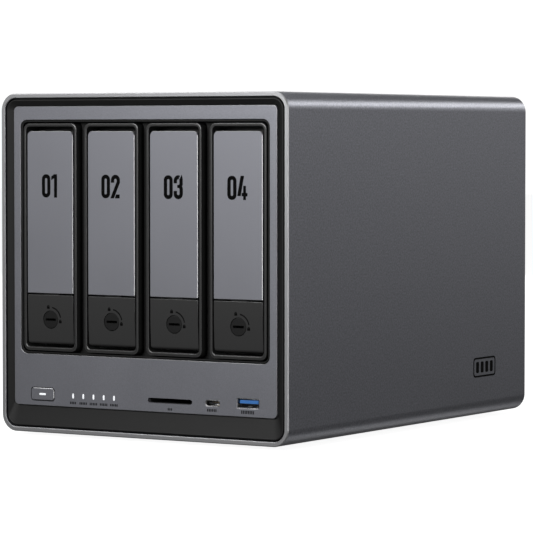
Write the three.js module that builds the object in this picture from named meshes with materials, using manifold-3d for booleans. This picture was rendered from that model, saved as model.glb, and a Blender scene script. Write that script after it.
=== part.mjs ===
// A four-bay desktop network storage enclosure. Millimetres, +Z up, front facing -Y.
// The origin is on the surface that it stands on, under the middle of the case.

import * as THREE from "three";
import { mergeVertices } from "three/addons/utils/BufferGeometryUtils.js";
import Module from "manifold-3d";

const wasm = await Module();
wasm.setup();

// ---------- driving dimensions ----------

const CASE_WIDTH = 178;
const CASE_HEIGHT = 178;
const CASE_DEPTH = 257.4;
const CASE_CORNER = 9;
const CASE_WALL = 2.4;
const FOOT_HEIGHT = 2;
const FOOT_RADIUS = 10;
const FIT = 0.2; // gap between pieces that are screwed, glued or clipped together

// Depths are measured back from the case's front edge, and heights up from its underside.
const CASE_MIDDLE = CASE_HEIGHT / 2;
const INNER_WIDTH = CASE_WIDTH - 2 * CASE_WALL;
const INNER_CORNER = CASE_CORNER - CASE_WALL;

const BEZEL_FRONT = 0.4;
const BEZEL_BACK = 16;
const BEZEL_LIP = 1.4;
const POCKET_DEPTH = 3.5; // the floor that the face plate lies on
const BEZEL_FLOOR = 2;

const PLATE_WIDTH = 163.2;
const PLATE_HEIGHT = 157.1;
const PLATE_MIDDLE = 92.7;
const PLATE_CORNER = 2.6;
const PLATE_FRONT = 1.2;
const PLATE_BACK = 3.3;

const BAYS = 4;
const BAY_PITCH = 38.9;
const BAY_MIDDLE = 102.7;
const OPENING_WIDTH = 154.5;
const OPENING_HEIGHT = 122.8;
const OPENING_CORNER = 4;

const DIVIDER = 4; // the bars between the bays

const TRAY_WIDTH = 34;
const TRAY_HEIGHT = 119.2;
const TRAY_CORNER = 3.5;
const TRAY_FRONT = 1.2;
const TRAY_WALL_BACK = 14;
const TRAY_BACK = 174.7;
const TRAY_BODY_WIDTH = 33.8;
const TRAY_BODY_HEIGHT = 118.2;
const TRAY_RAIL = 7.9;
const TRAY_SIDE = 1.8;
const RIM_INNER_WIDTH = 30.8;
const RIM_INNER_HEIGHT = 115.7;
const RIM_INNER_MIDDLE = 102.8;

const HANDLE_WIDTH = 29.2;
const HANDLE_BOTTOM = 73.25;
const HANDLE_TOP = 158.4;
const HANDLE_FRONT = 1.3;
const PIVOT_DEPTH = 5.5;
const PIVOT_HEIGHT = 155;
const PIVOT_RADIUS = 1.25;
const PIVOT_CLEARANCE = 0.3;

const LATCH_BOTTOM = 46.6;
const LATCH_TOP = 72.4;
const LATCH_FRONT = 1.4;
const LATCH_BACK = 9;
const LOCK_RADIUS = 4.7;
const LOCK_HEIGHT = 59.5;

const SHEET = 1.2; // steel of the cage and the base
const CAGE_FRONT = 16;
const CAGE_BACK = 186;
const CAGE_BOTTOM = 42.1;
const CAGE_TOP = 163.3;
const RUNNER_HEIGHT = 6.5;
const RUNNER_SPACE = 34.6;

const BOARD = 1.6;
const IO_BOARD_TOP = 17.8;
const MAINBOARD_TOP = 12.6;
const MAINBOARD_FRONT = 60;
const MAINBOARD_BACK = 252;
const BACKPLANE_DEPTH = 188;

const PANEL_FRONT = 253.4; // the rear panel's inner face
const PANEL_THICKNESS = 2;
const FAN_SIZE = 140;
const FAN_THICKNESS = 25;
const FAN_FRONT = 226.4;
const FAN_MIDDLE = 104;
const FAN_DUCT_RADIUS = 68.5;
const FAN_OPENING_RADIUS = 66;
const BLADES = 7;

const HATCH_WIDTH = 120;
const HATCH_LENGTH = 100;
const HATCH_DEPTH = 155; // its middle
const HATCH_SCREW_SPACING = 90;

const trayPlaces = Array.from({ length: BAYS }, (_, i) => (i - (BAYS - 1) / 2) * BAY_PITCH);
const gapPlaces = trayPlaces.slice(1).map((x) => x - BAY_PITCH / 2);

// ---------- materials ----------

const finish = (color, roughness, metalness) =>
  new THREE.MeshStandardMaterial({ color, roughness, metalness });

const materials = {
  anodised: finish(0x55575b, 0.45, 0.7),
  plate: finish(0x66676e, 0.5, 0.4),
  handle: finish(0x7c7d84, 0.45, 0.5),
  black: finish(0x1c1c1c, 0.6, 0),
  latch: finish(0x2e2e2e, 0.6, 0),
  steel: finish(0x2a2b2d, 0.5, 0.6),
  board: finish(0x16301f, 0.6, 0),
  silver: finish(0xb8babd, 0.35, 0.9),
  blue: finish(0x2f63b5, 0.5, 0),
  light: finish(0xffffff, 0.4, 0),
  rubber: finish(0x18181a, 0.9, 0),
};

// ---------- shapes in the X-Z plane, and solids from them ----------

// A rounded rectangle about (x, z), whose upper and lower corners may have different radii.
function roundedRect(width, height, top, { bottom = top, x = 0, z = 0 } = {}) {
  const [left, right] = [x - width / 2, x + width / 2];
  const [low, high] = [z - height / 2, z + height / 2];
  const shape = new THREE.Shape();
  shape.moveTo(left + bottom, low);
  shape.lineTo(right - bottom, low);
  shape.absarc(right - bottom, low + bottom, bottom, -Math.PI / 2, 0);
  shape.lineTo(right, high - top);
  shape.absarc(right - top, high - top, top, 0, Math.PI / 2);
  shape.lineTo(left + top, high);
  shape.absarc(left + top, high - top, top, Math.PI / 2, Math.PI);
  shape.lineTo(left, low + bottom);
  shape.absarc(left + bottom, low + bottom, bottom, Math.PI, 1.5 * Math.PI);
  return shape;
}

function circle(radius, x = 0, z = 0) {
  return new THREE.Shape().absarc(x, z, radius, 0, 2 * Math.PI);
}

function polygon(points) {
  return new THREE.Shape(points.map(([x, z]) => new THREE.Vector2(x, z)));
}

function withHoles(shape, ...holes) {
  shape.holes.push(...holes);
  return shape;
}

// Extrudes a shape from the depth `from` to the depth `to`. The bevel stays inside the outline.
function extrude(shape, from, to, { bevel = 0, steps = 3 } = {}) {
  const geometry = new THREE.ExtrudeGeometry(shape, {
    depth: to - from - 2 * bevel,
    curveSegments: steps,
    bevelEnabled: bevel > 0,
    bevelThickness: bevel,
    bevelSize: bevel,
    bevelOffset: -bevel,
    bevelSegments: 1,
  });
  return geometry.rotateX(Math.PI / 2).translate(0, to - bevel, 0);
}

function box([x0, x1], [y0, y1], [z0, z1]) {
  const geometry = new THREE.BoxGeometry(x1 - x0, y1 - y0, z1 - z0);
  return geometry.translate((x0 + x1) / 2, (y0 + y1) / 2, (z0 + z1) / 2);
}

function rodAlongX(radius, length, y, z, sides = 12) {
  const geometry = new THREE.CylinderGeometry(radius, radius, length, sides);
  return geometry.rotateZ(Math.PI / 2).translate(0, y, z);
}

function rodAlongZ(radius, [z0, z1], x, y, sides = 12) {
  const geometry = new THREE.CylinderGeometry(radius, radius, z1 - z0, sides);
  return geometry.rotateX(Math.PI / 2).translate(x, y, (z0 + z1) / 2);
}

// A closed solid through convex sections that all have the same number of [x, y, z] points.
function loft(sections) {
  const count = sections[0].length;
  const last = count * (sections.length - 1);
  const index = [];
  for (let start = 0; start < last; start += count) {
    for (let i = 0; i < count; i++) {
      const a = start + i;
      const b = start + ((i + 1) % count);
      index.push(a, b, a + count, b, b + count, a + count);
    }
  }
  for (let i = 1; i + 1 < count; i++) index.push(0, i + 1, i, last, last + i, last + i + 1);
  const geometry = new THREE.BufferGeometry();
  geometry.setAttribute("position", new THREE.Float32BufferAttribute(sections.flat(2), 3));
  return geometry.setIndex(index);
}

// ---------- joining and cutting ----------

function solid(geometry) {
  const bare = new THREE.BufferGeometry();
  const source = geometry.index ? geometry.toNonIndexed() : geometry;
  bare.setAttribute("position", source.getAttribute("position"));
  const merged = mergeVertices(bare, 1e-4);
  const triVerts = new Uint32Array(merged.index.array);
  const vertProperties = merged.attributes.position.array;
  return new wasm.Manifold(new wasm.Mesh({ numProp: 3, vertProperties, triVerts }));
}

function geometryOf(manifold) {
  const mesh = manifold.getMesh();
  const geometry = new THREE.BufferGeometry();
  geometry.setAttribute("position", new THREE.BufferAttribute(mesh.vertProperties, 3));
  geometry.setIndex(new THREE.BufferAttribute(mesh.triVerts, 1));
  geometry.computeVertexNormals();
  return geometry;
}

function carve(parts, cuts = []) {
  const whole = parts.map(solid).reduce((a, b) => a.add(b));
  return geometryOf(cuts.map(solid).reduce((a, b) => a.subtract(b), whole));
}

function piece(name, geometry, material, parent) {
  const mesh = new THREE.Mesh(geometry, material);
  mesh.name = name;
  parent.add(mesh);
  return mesh;
}

// ---------- front panel sockets and lights, as [x, z] on the face plate ----------

const POWER_BUTTON = { x: -63.2, z: 20.2, width: 15.2, height: 6.9, corner: 1.7 };
const POWER_LENS = { width: 4.3, height: 1 };
const LIGHTS = { first: -43.8, pitch: 6.5, count: 5, z: 20, width: 1.1, height: 2.6, corner: 0.5 };
const CARD_SLOT = { x: 17.1, z: 20.1, width: 27.2, height: 2.6 };
const CARD_READER = { ...CARD_SLOT, width: 28.4, height: 3.4, corner: 0.2 };
const USB_C = { x: 43.2, z: 20.2, width: 8.8, height: 3.1, corner: 1.5 };
const USB_A = { x: 64.4, z: 21, width: 13.1, height: 5.7, corner: 0.4 };
const lightPlaces = Array.from({ length: LIGHTS.count }, (_, i) => LIGHTS.first + i * LIGHTS.pitch);

function around({ x, z, width, height, corner }, gap) {
  const radius = Math.max(0.1, (corner ?? height / 2) + gap);
  return roundedRect(width + 2 * gap, height + 2 * gap, radius, { x, z });
}

// ---------- case ----------

function outerSleeve() {
  const bore = roundedRect(INNER_WIDTH, INNER_WIDTH, INNER_CORNER, { z: CASE_MIDDLE });
  const outline = roundedRect(CASE_WIDTH, CASE_HEIGHT, CASE_CORNER, { z: CASE_MIDDLE });
  const tube = extrude(withHoles(outline, bore), 0, CASE_DEPTH, { bevel: 0.5, steps: 4 });
  const half = [-HATCH_WIDTH / 2, HATCH_WIDTH / 2];
  const along = [HATCH_DEPTH - HATCH_LENGTH / 2, HATCH_DEPTH + HATCH_LENGTH / 2];
  return carve([tube], [box(half, along, [-1, CASE_WALL + 1])]);
}

function bottomHatch() {
  const [halfWidth, halfLength] = [HATCH_WIDTH / 2 - 0.3, HATCH_LENGTH / 2 - 0.3];
  const plate = box(
    [-halfWidth, halfWidth],
    [HATCH_DEPTH - halfLength, HATCH_DEPTH + halfLength],
    [0.2, 2.4],
  );
  const cuts = [];
  for (const y of hatchScrewDepths()) {
    cuts.push(rodAlongZ(1.8, [-1, 5], 0, y), rodAlongZ(3.2, [-1, 1.5], 0, y));
  }
  for (let row = -3; row <= 3; row++) {
    const y = HATCH_DEPTH + row * 10;
    cuts.push(box([-40, 40], [y - 1.5, y + 1.5], [-1, 5]));
  }
  return carve([plate], cuts);
}

function hatchScrewDepths() {
  return [-1, 1].map((side) => HATCH_DEPTH + (side * HATCH_SCREW_SPACING) / 2);
}

function hatchScrew() {
  return carve(
    [rodAlongZ(2.9, [0.3, 1.4], 0, 0), rodAlongZ(1.4, [1.2, 6], 0, 0)],
    [box([-2, 2], [-0.4, 0.4], [0, 0.9]), box([-0.4, 0.4], [-2, 2], [0, 0.9])],
  );
}

function foot() {
  const gap = 0.1; // the glue line
  const profile = [
    [0, 0],
    [FOOT_RADIUS - 0.5, 0],
    [FOOT_RADIUS, 0.5],
    [FOOT_RADIUS, FOOT_HEIGHT - gap],
    [0, FOOT_HEIGHT - gap],
  ].map(([r, z]) => new THREE.Vector2(r, z));
  return new THREE.LatheGeometry(profile, 20).rotateX(Math.PI / 2);
}

// ---------- front ----------

function frontBezel() {
  const outer = INNER_WIDTH - 2 * FIT;
  const lip = outer - 2 * BEZEL_LIP;
  const hollow = outer - 4;
  const middle = { z: CASE_MIDDLE };
  const body = extrude(roundedRect(outer, outer, INNER_CORNER - FIT, middle), BEZEL_FRONT, BEZEL_BACK);
  const section = (shape, depth) => shape.getPoints(3).map(({ x, y }) => [x, depth, y]);
  const mouth = roundedRect(lip, lip, INNER_CORNER - FIT - BEZEL_LIP, middle);
  const pocket = roundedRect(PLATE_WIDTH + 2 * FIT, PLATE_HEIGHT + 2 * FIT, PLATE_CORNER + FIT, {
    z: PLATE_MIDDLE,
  });
  const slope = loft([section(pocket, POCKET_DEPTH), section(mouth, BEZEL_FRONT - 0.01)]);
  const floorBack = POCKET_DEPTH + BEZEL_FLOOR;
  const through = (shape, steps) => extrude(shape, 0, floorBack + 1, { steps });
  const lightRow = {
    x: LIGHTS.first + (LIGHTS.pitch * (LIGHTS.count - 1)) / 2,
    z: LIGHTS.z,
    width: LIGHTS.pitch * (LIGHTS.count - 1) + LIGHTS.width,
    height: LIGHTS.height,
  };
  return carve(
    [body],
    [
      slope,
      extrude(roundedRect(hollow, hollow, INNER_CORNER - 2, middle), floorBack, BEZEL_BACK + 1),
      through(roundedRect(OPENING_WIDTH, OPENING_HEIGHT, OPENING_CORNER, { z: BAY_MIDDLE }), 3),
      ...[around(POWER_BUTTON, 0.5), around(lightRow, 0.5), around(CARD_READER, 0.3)].map(
        (hole) => through(hole, 1),
      ),
      ...[around(USB_C, 0.5), around(USB_A, 0.4)].map((hole) => through(hole, 2)),
    ],
  );
}

function facePlate() {
  const outline = roundedRect(PLATE_WIDTH, PLATE_HEIGHT, PLATE_CORNER, { z: PLATE_MIDDLE });
  const lights = lightPlaces.map((x) => around({ ...LIGHTS, x }, 0.15));
  const opening = roundedRect(OPENING_WIDTH, OPENING_HEIGHT, OPENING_CORNER, { z: BAY_MIDDLE });
  const sockets = [around(POWER_BUTTON, 0.3), around(CARD_SLOT, 0), around(USB_C, FIT)];
  const shape = withHoles(outline, opening, ...sockets, around(USB_A, FIT), ...lights);
  return extrude(shape, PLATE_FRONT, PLATE_BACK, { steps: 2 });
}

function baySurround() {
  const rim = 1.1;
  const [width, height] = [OPENING_WIDTH - 2 * FIT, OPENING_HEIGHT - 2 * FIT];
  const middle = { z: BAY_MIDDLE };
  const inner = () =>
    roundedRect(width - 2 * rim, height - 2 * rim, OPENING_CORNER - FIT - rim, middle);
  const ring = withHoles(roundedRect(width, height, OPENING_CORNER - FIT, middle), inner());
  const flange = withHoles(roundedRect(width + 6, height + 6, OPENING_CORNER, middle), inner());
  const flangeFront = POCKET_DEPTH + BEZEL_FLOOR + 0.3;
  const flangeBack = flangeFront + 1.5;
  const dividers = gapPlaces.map((x) =>
    box(
      [x - DIVIDER / 2, x + DIVIDER / 2],
      [flangeFront, flangeBack],
      [BAY_MIDDLE - height / 2, BAY_MIDDLE + height / 2],
    ),
  );
  return carve([extrude(ring, 1.6, 13.8), extrude(flange, flangeFront, flangeBack), ...dividers]);
}

function powerButton() {
  const outline = around(POWER_BUTTON, 0);
  const slot = around({ ...POWER_BUTTON, ...POWER_LENS, corner: POWER_LENS.height / 2 }, FIT);
  return extrude(withHoles(outline, slot), 0.9, 5.4, { steps: 2 });
}

function powerButtonLens() {
  const lens = around({ ...POWER_BUTTON, ...POWER_LENS, corner: POWER_LENS.height / 2 }, 0);
  return extrude(lens, 0.85, 4, { steps: 2 });
}

function statusLightGuide() {
  const bar = box(
    [lightPlaces[0] - 1.2, lightPlaces.at(-1) + 1.2],
    [9.8, 13],
    [LIGHTS.z - 1.5, LIGHTS.z + 1.5],
  );
  const prongs = lightPlaces.map((x) =>
    extrude(around({ ...LIGHTS, x }, 0), PLATE_FRONT + 0.1, 10, { steps: 2 }),
  );
  return carve([bar, ...prongs]);
}

// A plug socket: a shell with a hollow of the given depth, and a tongue in it unless it has none.
function socket(place, from, to, { wall = 0.35, hollow, tongue }) {
  const inner = around(place, -wall);
  const cavity = extrude(inner, from - 1, from + hollow, { steps: 2 });
  const shell = carve([extrude(around(place, 0), from, to, { steps: 2 })], [cavity]);
  if (!tongue) return shell;
  const middle = place.z + (tongue.rise ?? 0);
  const blade = box(
    [place.x - tongue.width / 2, place.x + tongue.width / 2],
    [from + tongue.setback, from + hollow + 0.5],
    [middle - tongue.height / 2, middle + tongue.height / 2],
  );
  return carve([shell, blade]);
}

function usbTongue() {
  const [x, z] = [USB_A.x, USB_A.z + 0.9];
  return box([x - 5.6, x + 5.6], [2.8, 13.3], [z - 1.1, z + 1.1]);
}

function cardReader() {
  return socket(CARD_READER, PLATE_BACK + 0.4, 34, { wall: 0.5, hollow: 26 });
}

// ---------- drive trays, each about its own middle ----------

function trayCarrier() {
  const rimInner = roundedRect(RIM_INNER_WIDTH, RIM_INNER_HEIGHT, 2.2, { z: RIM_INNER_MIDDLE });
  const rimOuter = () => roundedRect(TRAY_WIDTH, TRAY_HEIGHT, TRAY_CORNER, { z: BAY_MIDDLE });
  const rim = extrude(withHoles(rimOuter(), rimInner), TRAY_FRONT, TRAY_WALL_BACK);
  const wall = extrude(rimOuter(), TRAY_WALL_BACK - 2, TRAY_WALL_BACK);
  const half = TRAY_BODY_WIDTH / 2;
  const bottom = BAY_MIDDLE - TRAY_BODY_HEIGHT / 2;
  const top = BAY_MIDDLE + TRAY_BODY_HEIGHT / 2;
  const length = [TRAY_WALL_BACK - 0.5, TRAY_BACK];
  const side = box([-half, -half + TRAY_SIDE], length, [bottom, top]);
  const lowerRail = box([-half, half], length, [bottom, bottom + TRAY_RAIL]);
  const upperRail = box([-half, half], length, [top - TRAY_RAIL, top]);
  const cuts = [
    rodAlongX(PIVOT_RADIUS + PIVOT_CLEARANCE, 32.6, PIVOT_DEPTH, PIVOT_HEIGHT),
  ];
  for (const x of [-9, 0, 9]) {
    cuts.push(box([x - 2, x + 2], [TRAY_WALL_BACK - 3, TRAY_WALL_BACK + 1], [82, 146]));
  }
  for (let row = 0; row < 3; row++) {
    const z = 66 + row * 28;
    cuts.push(box([-half - 1, -half + 3], [50, 140], [z, z + 16]));
  }
  return carve([rim, wall, side, lowerRail, upperRail], cuts);
}

function handleFace() {
  const height = HANDLE_TOP - HANDLE_BOTTOM;
  const outline = roundedRect(HANDLE_WIDTH, height, 2.5, {
    bottom: 0.3,
    z: HANDLE_BOTTOM + height / 2,
  });
  return extrude(outline, HANDLE_FRONT, HANDLE_FRONT + 1.2, { steps: 2 });
}

function handleLever() {
  const half = HANDLE_WIDTH / 2 - 0.3;
  const front = HANDLE_FRONT + 1.3;
  const [bottom, top] = [HANDLE_BOTTOM + 0.2, HANDLE_TOP - 0.2];
  return carve(
    [
      box([-half, half], [front, front + 3.6], [bottom, top]),
      box([-half, half], [front + 1, PIVOT_DEPTH + 2.9], [top - 6, top]),
      box([-half, half], [front + 1, PIVOT_DEPTH + 2.9], [bottom, bottom + 2.6]),
      rodAlongX(PIVOT_RADIUS, 31.8, PIVOT_DEPTH, PIVOT_HEIGHT),
    ],
    [box([-half + 2, half - 2], [front + 1.4, 12], [bottom + 4.6, top - 8])],
  );
}

function latchButton() {
  const height = LATCH_TOP - LATCH_BOTTOM;
  const middle = LATCH_BOTTOM + height / 2;
  const outline = roundedRect(HANDLE_WIDTH, height, 0.3, { bottom: 1.6, z: middle });
  const bored = withHoles(outline, circle(LOCK_RADIUS + 0.25, 0, LOCK_HEIGHT));
  const tongue = box([-4.8, 4.8], [2.8, 6], [LATCH_TOP - 1, LATCH_TOP + 0.55]);
  return carve([extrude(bored, LATCH_FRONT, LATCH_BACK, { steps: 8 }), tongue]);
}

function lockCylinder() {
  const drum = extrude(circle(LOCK_RADIUS), LATCH_FRONT + 0.2, LATCH_BACK - 0.4, { steps: 10 });
  return carve([drum], [box([-3.5, 3.5], [0, LATCH_FRONT + 1.8], [-0.65, 0.65])]);
}

function addTray(number, x, parent) {
  const tray = new THREE.Group();
  tray.position.x = x;
  parent.add(tray);
  piece(`tray_${number}_carrier`, trayCarrier(), materials.black, tray);
  piece(`tray_${number}_handle_lever`, handleLever(), materials.black, tray);
  piece(`tray_${number}_handle_face`, handleFace(), materials.handle, tray);
  piece(`tray_${number}_latch_button`, latchButton(), materials.latch, tray);
  const lock = piece(`tray_${number}_lock`, lockCylinder(), materials.latch, tray);
  lock.position.z = LOCK_HEIGHT;
}

// ---------- steel inside ----------

function driveCage() {
  const half = (BAYS * BAY_PITCH + SHEET) / 2;
  const outline = polygon([
    [-half, CAGE_BOTTOM],
    [half, CAGE_BOTTOM],
    [half, CAGE_TOP],
    [-half, CAGE_TOP],
  ]);
  const wide = (BAY_PITCH - SHEET) / 2;
  const narrow = RUNNER_SPACE / 2;
  const [low, high] = [CAGE_BOTTOM + SHEET, CAGE_TOP - SHEET];
  const [lowRunner, highRunner] = [low + RUNNER_HEIGHT, high - RUNNER_HEIGHT];
  const cell = (x) =>
    polygon([
      [x - narrow, low],
      [x + narrow, low],
      [x + narrow, lowRunner],
      [x + wide, lowRunner],
      [x + wide, highRunner],
      [x + narrow, highRunner],
      [x + narrow, high],
      [x - narrow, high],
      [x - narrow, highRunner],
      [x - wide, highRunner],
      [x - wide, lowRunner],
      [x - narrow, lowRunner],
    ]);
  const cells = trayPlaces.map((x) => extrude(cell(x), CAGE_FRONT - 1, CAGE_BACK + 1));
  return carve([extrude(outline, CAGE_FRONT, CAGE_BACK)], cells);
}

function chassisBase() {
  const half = (BAYS * BAY_PITCH + SHEET) / 2;
  const floor = CASE_WALL + 0.3;
  const [front, back] = [CAGE_FRONT + 0.5, PANEL_FRONT - 1];
  const wallTop = CAGE_BOTTOM - 0.3;
  const parts = [
    box([-half, half], [front, back], [floor, floor + SHEET]),
    box([-half, -half + SHEET], [front, back], [floor, wallTop]),
    box([half - SHEET, half], [front, back], [floor, wallTop]),
  ];
  for (const x of [-66, 66]) {
    for (const y of [70, 215]) {
      parts.push(rodAlongZ(3, [floor + 1, MAINBOARD_TOP - BOARD - 0.1], x, y, 6));
    }
  }
  const cuts = hatchScrewDepths().map((y) => rodAlongZ(1.8, [0, 6], 0, y));
  cuts.push(box([-50, 50], [HATCH_DEPTH - 38, HATCH_DEPTH + 38], [0, 6]));
  return carve(parts, cuts);
}

// ---------- boards ----------

function backplaneBoard() {
  const cuts = gapPlaces.map((x) => box([x - 5, x + 5], [0, 300], [55, 150]));
  const depth = [BACKPLANE_DEPTH, BACKPLANE_DEPTH + BOARD];
  return carve([box([-75, 75], depth, [MAINBOARD_TOP + 0.4, CAGE_TOP - 1])], cuts);
}

function driveConnector() {
  const [front, back] = [TRAY_BACK + 0.6, BACKPLANE_DEPTH - 0.2];
  const [bottom, top] = [80, 122];
  return carve(
    [box([-3, 3], [front, back], [bottom, top])],
    [
      box([-1, 1], [front - 1, front + 5], [bottom + 2, bottom + 17]),
      box([-1, 1], [front - 1, front + 5], [bottom + 19, top - 2]),
    ],
  );
}

function heatSink() {
  const fins = 11;
  const [half, base, top] = [32, 4, 22];
  const pitch = (2 * half) / (fins - 0.5);
  const points = [
    [half, 0],
    [-half, 0],
  ];
  for (let i = 0; i < fins; i++) {
    const x = -half + i * pitch;
    points.push([x, i ? base : 2], [x, top], [x + pitch / 2, top], [x + pitch / 2, base]);
  }
  points.at(-1)[0] = half;
  points.at(-2)[0] = half;
  points.pop();
  return extrude(polygon(points.reverse()), 0, 64);
}

// ---------- back ----------

const REAR_FACE = PANEL_FRONT + PANEL_THICKNESS;
const PORT_FOOT = MAINBOARD_TOP + 0.3;
const LAN = { width: 15.9, height: 13.5, corner: 0.3 };
const REAR_USB = { width: 13.1, height: 5.7, corner: 0.4 };
const HDMI = { width: 15.2, height: 5.9, corner: 0.8 };
const INLET = { width: 10.4, height: 11.6, corner: 0.5 };
const rearPort = (size, x) => ({ ...size, x, z: PORT_FOOT + size.height / 2 });
const RESET = { x: 53.3, z: PORT_FOOT + 4, radius: 1.1 };
const ports = {
  power_inlet: rearPort(INLET, 63),
  hdmi_port: rearPort(HDMI, 41.5),
  rear_usb_port_1: rearPort(REAR_USB, 22),
  rear_usb_port_2: rearPort(REAR_USB, 5),
  rear_usb_port_3: rearPort(REAR_USB, -12),
  lan_port_1: rearPort(LAN, -34),
  lan_port_2: rearPort(LAN, -57),
};

function rearPanel() {
  const size = INNER_WIDTH - 0.6;
  const outline = roundedRect(size, size, INNER_CORNER - 0.3, { z: CASE_MIDDLE });
  const through = (shape, steps) => extrude(shape, PANEL_FRONT - 1, REAR_FACE + 1, { steps });
  return carve(
    [extrude(outline, PANEL_FRONT, REAR_FACE)],
    [
      ...Object.values(ports).map((port) => through(around({ ...port, corner: 0 }, 0.3), 1)),
      through(circle(FAN_OPENING_RADIUS, 0, FAN_MIDDLE), 10),
      through(circle(RESET.radius + 0.4, RESET.x, RESET.z), 3),
    ],
  );
}

function dustFilter() {
  const outline = roundedRect(150, 138, 6, { z: FAN_MIDDLE });
  const slots = [];
  for (let row = -5; row <= 5; row++) {
    slots.push(roundedRect(136, 9, 1, { z: FAN_MIDDLE + row * 11.6 }));
  }
  return extrude(withHoles(outline, ...slots), REAR_FACE + FIT, CASE_DEPTH - 0.2, { steps: 1 });
}

// The fan's pieces are made about its own axis, with depths from its front face.
function fanFrame() {
  const outline = roundedRect(FAN_SIZE, FAN_SIZE, 5);
  const body = extrude(withHoles(outline, circle(FAN_DUCT_RADIUS)), 0, FAN_THICKNESS, { steps: 12 });
  const hub = extrude(circle(21), 20.5, 24.5, { steps: 8 });
  const struts = [0, 1].map((turn) => {
    const bar = box([-FAN_DUCT_RADIUS - 0.5, FAN_DUCT_RADIUS + 0.5], [21, 24], [-2, 2]);
    return bar.rotateY(Math.PI / 4 + (turn * Math.PI) / 2);
  });
  return carve([body, hub, ...struts]);
}

function fanRotor() {
  const [rootRadius, tipRadius] = [18, 66.5];
  const sections = 4;
  const blade = [];
  for (let i = 0; i < sections; i++) {
    const share = i / (sections - 1);
    const radius = rootRadius + share * (tipRadius - rootRadius);
    const pitch = THREE.MathUtils.degToRad(50 - 20 * share);
    const half = 8.5 + 7 * share;
    const thick = 1;
    const point = (along, across) => {
      const x = along * Math.cos(pitch) - across * Math.sin(pitch);
      const y = along * Math.sin(pitch) + across * Math.cos(pitch);
      return [x, 10 + y, radius];
    };
    blade.push([point(-half, -thick), point(half, -thick), point(half, thick), point(-half, thick)]);
  }
  const blades = Array.from({ length: BLADES }, (_, i) =>
    loft(blade).rotateY((i * 2 * Math.PI) / BLADES),
  );
  const hub = extrude(circle(20), 1.5, 19.5, { bevel: 1, steps: 8 });
  return carve([hub, ...blades]);
}

function lanPort(place) {
  const [x, z] = [place.x, place.z];
  const mouth = REAR_FACE + 1;
  return carve(
    [extrude(around(place, 0), 234, REAR_FACE - 0.1, { steps: 1 })],
    [
      box([x - 5.85, x + 5.85], [243, mouth], [z - 3.6, z + 4.6]),
      box([x - 2, x + 2], [243, mouth], [z - 5.6, z]),
    ],
  );
}

function powerInlet(place) {
  const { x, z } = place;
  const bore = extrude(circle(3.3, x, z + 0.6), 244, REAR_FACE + 1, { steps: 6 });
  const pin = extrude(circle(1.1, x, z + 0.6), 243, REAR_FACE - 1.5, { steps: 4 });
  const body = extrude(around(place, 0), 236, REAR_FACE - 0.1, { steps: 1 });
  return carve([carve([body], [bore]), pin]);
}

// The rear sockets face backwards, so they are made facing forwards at depth 0 and turned.
function rearSocket(place, length, options) {
  const turned = { ...place, x: -place.x };
  return socket(turned, 0, length, options).rotateZ(Math.PI).translate(0, REAR_FACE - 0.1, 0);
}

function resetButton() {
  return extrude(circle(RESET.radius, RESET.x, RESET.z), 245, REAR_FACE - 0.8, { steps: 5 });
}

// ---------- assembly ----------

const nas = new THREE.Group();
const casing = new THREE.Group(); // its y is a depth and its z a height above the underside
casing.position.set(0, -CASE_DEPTH / 2, FOOT_HEIGHT);
nas.add(casing);

piece("outer_sleeve", outerSleeve(), materials.anodised, casing);
piece("bottom_hatch", bottomHatch(), materials.steel, casing);
hatchScrewDepths().forEach((depth, i) => {
  const screw = piece(`hatch_screw_${i + 1}`, hatchScrew(), materials.silver, casing);
  screw.position.y = depth;
});
for (const [name, x, y] of [
  ["front_left", -58, -100],
  ["front_right", 58, -100],
  ["rear_left", -58, 100],
  ["rear_right", 58, 100],
]) {
  piece(`foot_${name}`, foot(), materials.rubber, nas).position.set(x, y, 0);
}

piece("front_bezel", frontBezel(), materials.black, casing);
piece("face_plate", facePlate(), materials.plate, casing);
piece("bay_surround", baySurround(), materials.black, casing);
piece("power_button", powerButton(), materials.plate, casing);
piece("power_button_lens", powerButtonLens(), materials.light, casing);
piece("status_light_guide", statusLightGuide(), materials.light, casing);
piece("sd_card_reader", cardReader(), materials.silver, casing);
const usbC = { wall: 0.3, hollow: 6.5, tongue: { width: 6.7, height: 0.7, setback: 0.8 } };
piece("usb_c_port", socket(USB_C, 1.5, 9.5, usbC), materials.silver, casing);
piece("usb_a_port", socket(USB_A, 1.5, 16, { hollow: 12 }), materials.silver, casing);
piece("usb_a_tongue", usbTongue(), materials.blue, casing);

trayPlaces.forEach((x, i) => addTray(i + 1, x, casing));

piece("drive_cage", driveCage(), materials.steel, casing);
piece("chassis_base", chassisBase(), materials.steel, casing);
piece("backplane_board", backplaneBoard(), materials.board, casing);
trayPlaces.forEach((x, i) => {
  piece(`drive_connector_${i + 1}`, driveConnector(), materials.black, casing).position.x = x;
});
const ioBoard = box([-74, 74], [6.6, 50], [IO_BOARD_TOP - BOARD, IO_BOARD_TOP]);
piece("front_io_board", ioBoard, materials.board, casing);
const mainboard = box(
  [-74, 74],
  [MAINBOARD_FRONT, MAINBOARD_BACK],
  [MAINBOARD_TOP - BOARD, MAINBOARD_TOP],
);
piece("mainboard", mainboard, materials.board, casing);
const sink = piece("heat_sink", heatSink(), materials.silver, casing);
sink.position.set(0, 88, MAINBOARD_TOP + 0.3);

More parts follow.
